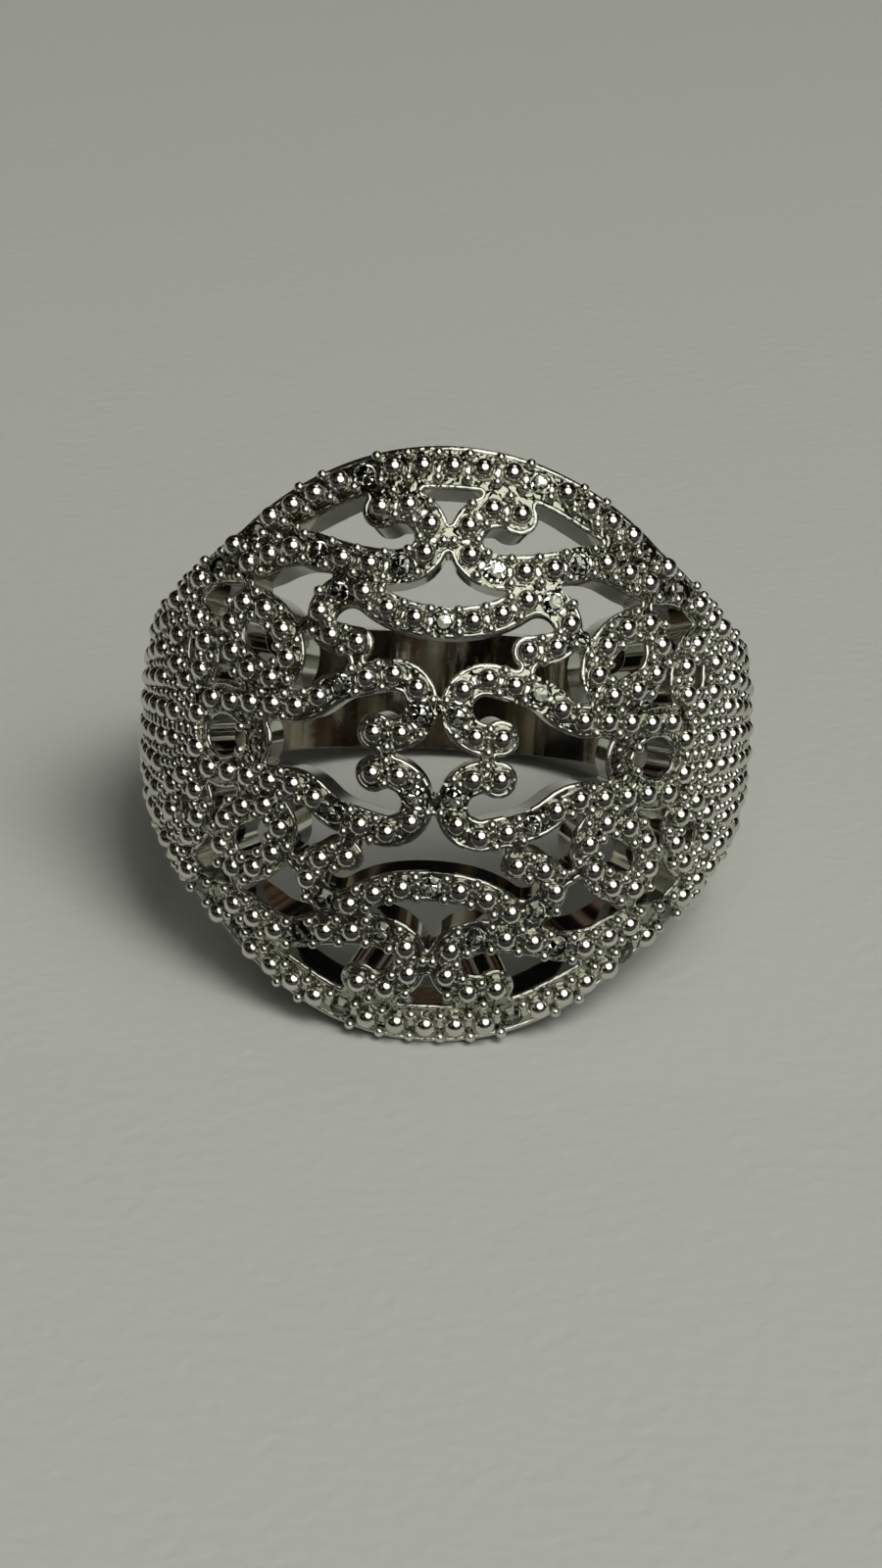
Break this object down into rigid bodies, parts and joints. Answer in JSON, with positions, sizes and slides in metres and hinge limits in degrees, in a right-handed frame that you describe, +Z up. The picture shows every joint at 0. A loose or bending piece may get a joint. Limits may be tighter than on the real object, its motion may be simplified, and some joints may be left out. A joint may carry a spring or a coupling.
{
  "type": "diamond ring",
  "caption": "Openwork dress ring: a domed grille of beaded scrolls and leaves set with small single-cut diamonds, on a plain flat band",
  "frame": {"origin": "on the ground, under the middle of the ring's box, as it lies on the dome's lower rim and the back of its band", "axes": "+Z up; +Y from the dome to the back of the band; +X to the right seen from the dome's side; the finger axis leans 21.47 degrees from +Z towards +Y"},
  "size_m": [0.022, 0.024, 0.019],
  "materials": {
    "polished_silver": "polished, rhodium-plated",
    "diamond": "polished"
  },
  "bodies": {
    "root": {"ring_casting": "polished_silver", "diamond_01": "diamond", "diamond_02": "diamond", "diamond_03": "diamond", "diamond_04": "diamond", "diamond_05": "diamond", "diamond_06": "diamond", "diamond_07": "diamond", "diamond_08": "diamond", "diamond_09": "diamond", "diamond_10": "diamond", "diamond_11": "diamond", "diamond_12": "diamond", "diamond_13": "diamond", "diamond_14": "diamond", "diamond_15": "diamond", "diamond_16": "diamond", "diamond_17": "diamond", "diamond_18": "diamond", "diamond_19": "diamond", "diamond_20": "diamond", "diamond_21": "diamond", "diamond_22": "diamond", "diamond_23": "diamond", "diamond_24": "diamond", "diamond_25": "diamond", "diamond_26": "diamond", "diamond_27": "diamond", "diamond_28": "diamond", "diamond_29": "diamond", "diamond_30": "diamond", "diamond_31": "diamond", "diamond_32": "diamond", "diamond_33": "diamond", "diamond_34": "diamond"}
  },
  "joints": []
}
